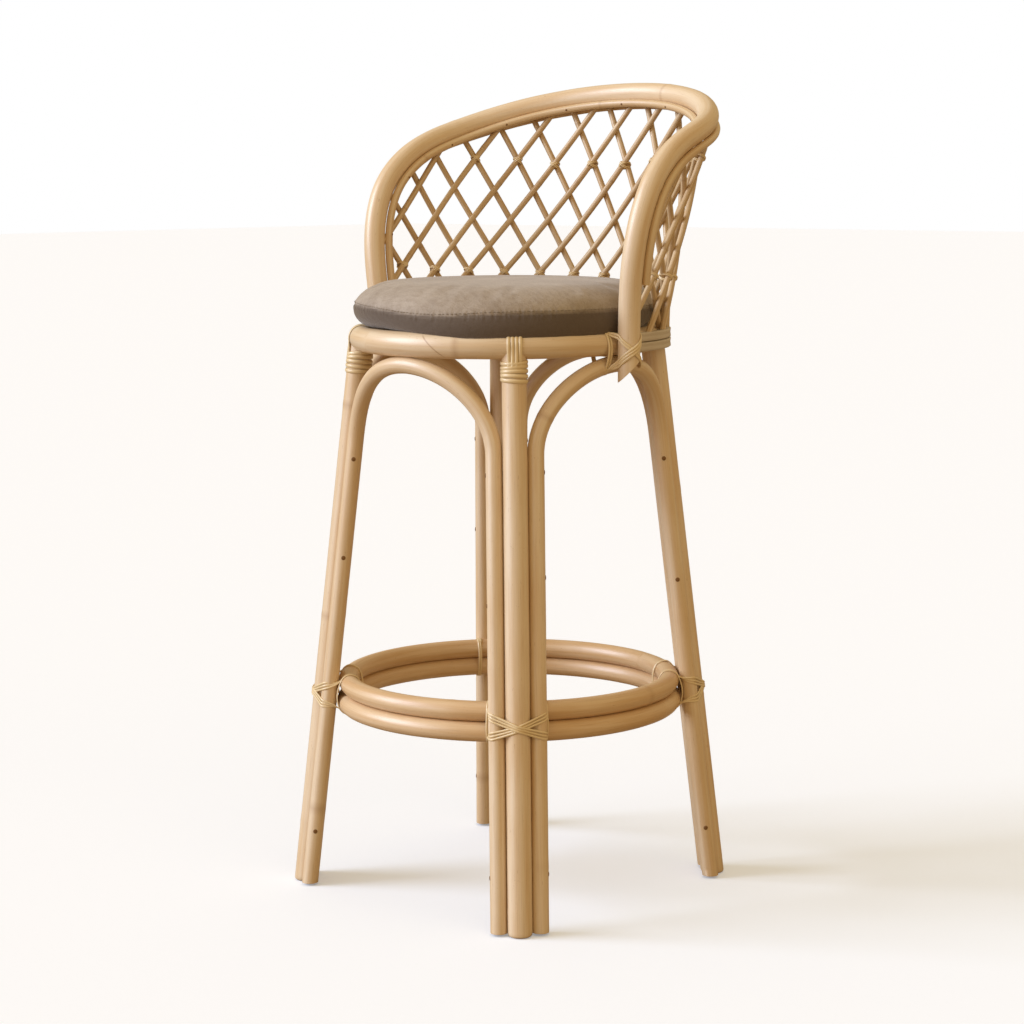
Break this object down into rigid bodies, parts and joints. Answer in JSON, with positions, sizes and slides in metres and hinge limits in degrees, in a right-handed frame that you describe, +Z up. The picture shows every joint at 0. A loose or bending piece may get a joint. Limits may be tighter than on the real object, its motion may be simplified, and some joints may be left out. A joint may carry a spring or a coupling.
{
  "type": "bar stool with footrest",
  "caption": "Rattan bar stool with bent arches between splayed legs, a ring footrest, a latticed hoop back with arms and a loose round cushion.",
  "frame": {"origin": "on the floor, under the middle of the stool's bounding box", "axes": "+Z up, the sitter faces -Y and the latticed back is at +Y, +X is on the sitter's left when seated"},
  "size_m": [0.4812, 0.4807, 1.0208],
  "materials": {
    "rattan_pole": "peeled rattan pole, clear satin lacquer, faint nodes and grain",
    "lattice_cane": "thin rattan core cane, satin",
    "split_band": "split cane with skin on, dull satin",
    "peel_binding": "flat rattan peel, semi-gloss",
    "cushion_cloth": "taupe woven cloth, matte",
    "seat_board": "plain plywood"
  },
  "bodies": {
    "frame": {"arch_front": "rattan_pole", "arch_left": "rattan_pole", "arch_rear": "rattan_pole", "arch_right": "rattan_pole", "arm_binding_left": "peel_binding", "arm_binding_right": "peel_binding", "back_hoop": "rattan_pole", "footrest_binding_front_left": "peel_binding", "footrest_binding_front_right": "peel_binding", "footrest_binding_rear_left": "peel_binding", "footrest_binding_rear_right": "peel_binding", "footrest_ring_lower": "rattan_pole", "footrest_ring_upper": "rattan_pole", "hoop_strip_inner": "rattan_pole", "hoop_strip_outer": "rattan_pole", "lattice_cane_inner_01": "lattice_cane", "lattice_cane_inner_02": "lattice_cane", "lattice_cane_inner_03": "lattice_cane", "lattice_cane_inner_04": "lattice_cane", "lattice_cane_inner_05": "lattice_cane", "lattice_cane_inner_06": "lattice_cane", "lattice_cane_inner_07": "lattice_cane", "lattice_cane_inner_08": "lattice_cane", "lattice_cane_inner_09": "lattice_cane", "lattice_cane_inner_10": "lattice_cane", "lattice_cane_inner_11": "lattice_cane", "lattice_cane_inner_12": "lattice_cane", "lattice_cane_inner_13": "lattice_cane", "lattice_cane_inner_14": "lattice_cane", "lattice_cane_outer_01": "lattice_cane", "lattice_cane_outer_02": "lattice_cane", "lattice_cane_outer_03": "lattice_cane", "lattice_cane_outer_04": "lattice_cane", "lattice_cane_outer_05": "lattice_cane", "lattice_cane_outer_06": "lattice_cane", "lattice_cane_outer_07": "lattice_cane", "lattice_cane_outer_08": "lattice_cane", "lattice_cane_outer_09": "lattice_cane", "lattice_cane_outer_10": "lattice_cane", "lattice_cane_outer_11": "lattice_cane", "lattice_cane_outer_12": "lattice_cane", "lattice_cane_outer_13": "lattice_cane", "lattice_cane_outer_14": "lattice_cane", "leg_front_left": "rattan_pole", "leg_front_right": "rattan_pole", "leg_rear_left": "rattan_pole", "leg_rear_right": "rattan_pole", "leg_wrap_front_left": "peel_binding", "leg_wrap_front_right": "peel_binding", "seat_bearer_front": "rattan_pole", "seat_bearer_rear": "rattan_pole", "seat_board": "seat_board", "seat_rim": "rattan_pole", "split_band_lower": "split_band", "split_band_upper": "split_band"},
    "cushion": {"seat_cushion": "cushion_cloth"}
  },
  "joints": [
    {"name": "cushion_lift", "type": "slide", "parent": "frame", "child": "cushion", "axis": [0, 0, 1], "range_m": [0, 0.32]}
  ]
}
